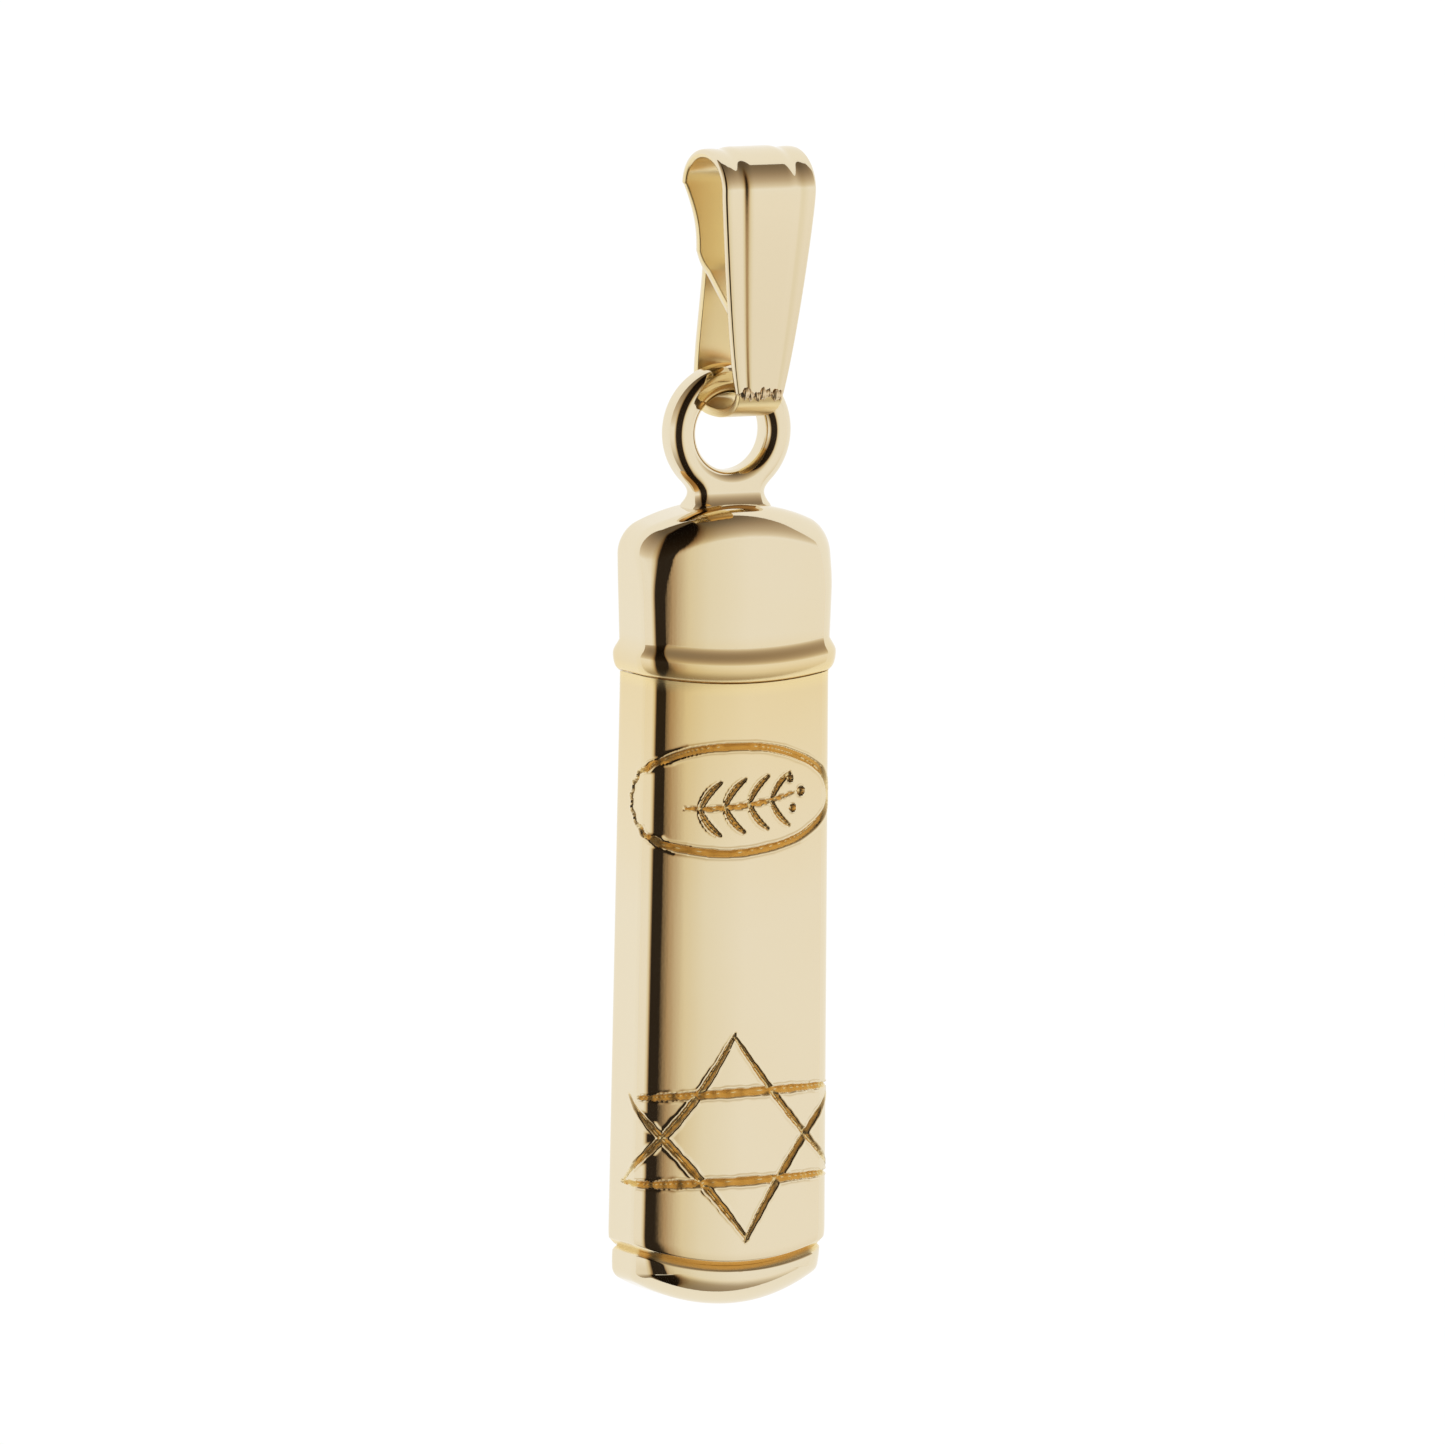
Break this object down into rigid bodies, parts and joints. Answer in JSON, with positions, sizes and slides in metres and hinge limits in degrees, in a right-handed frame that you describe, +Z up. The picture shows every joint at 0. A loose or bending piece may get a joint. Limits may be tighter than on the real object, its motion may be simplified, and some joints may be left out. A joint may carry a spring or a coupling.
{
  "type": "mezuzah pendant",
  "caption": "Slim rounded mezuzah case worn as a pendant: a folded bail carries a capped hollow case that pulls open to reach a rolled parchment.",
  "frame": {"origin": "the chain seat, at the inner top of the bail's roll", "axes": "+Z up along the case, the engraved front faces -Y, +X to the right of someone facing the back"},
  "size_m": [0.0052, 0.0032, 0.0265],
  "materials": {
    "gold_polished": "mirror polished yellow gold",
    "gold_plain": "drawn gold sheet, not polished",
    "gold_solder": "gold solder as it flowed",
    "parchment": "matte parchment"
  },
  "bodies": {
    "bail": {"bail_strip": "gold_polished", "bail_strap": "gold_polished", "bail_front_solder": "gold_solder", "bail_back_solder": "gold_solder"},
    "cap": {"suspension_eye": "gold_polished", "cap_shell": "gold_polished", "cap_rim_bead": "gold_polished"},
    "case": {"case_front_shell": "gold_polished", "case_back_shell": "gold_polished", "inner_collar": "gold_plain", "base_cap": "gold_polished"},
    "scroll": {"parchment_scroll": "parchment"}
  },
  "joints": [
    {"name": "bail_swing", "type": "hinge", "parent": "bail", "child": "cap", "pos_m": [0, 0.00097, -0.00515], "axis": [1, 0, 0], "range_deg": [-75, 75]},
    {"name": "case_pull", "type": "slide", "parent": "cap", "child": "case", "axis": [0, 0, -1], "range_m": [0, 0.014]},
    {"name": "scroll_lift", "type": "slide", "parent": "case", "child": "scroll", "axis": [0, 0, 1], "range_m": [0, 0.009]}
  ],
  "couplings": [
    {"joint": "scroll_lift", "follows": "case_pull", "ratio": 0.64286}
  ]
}
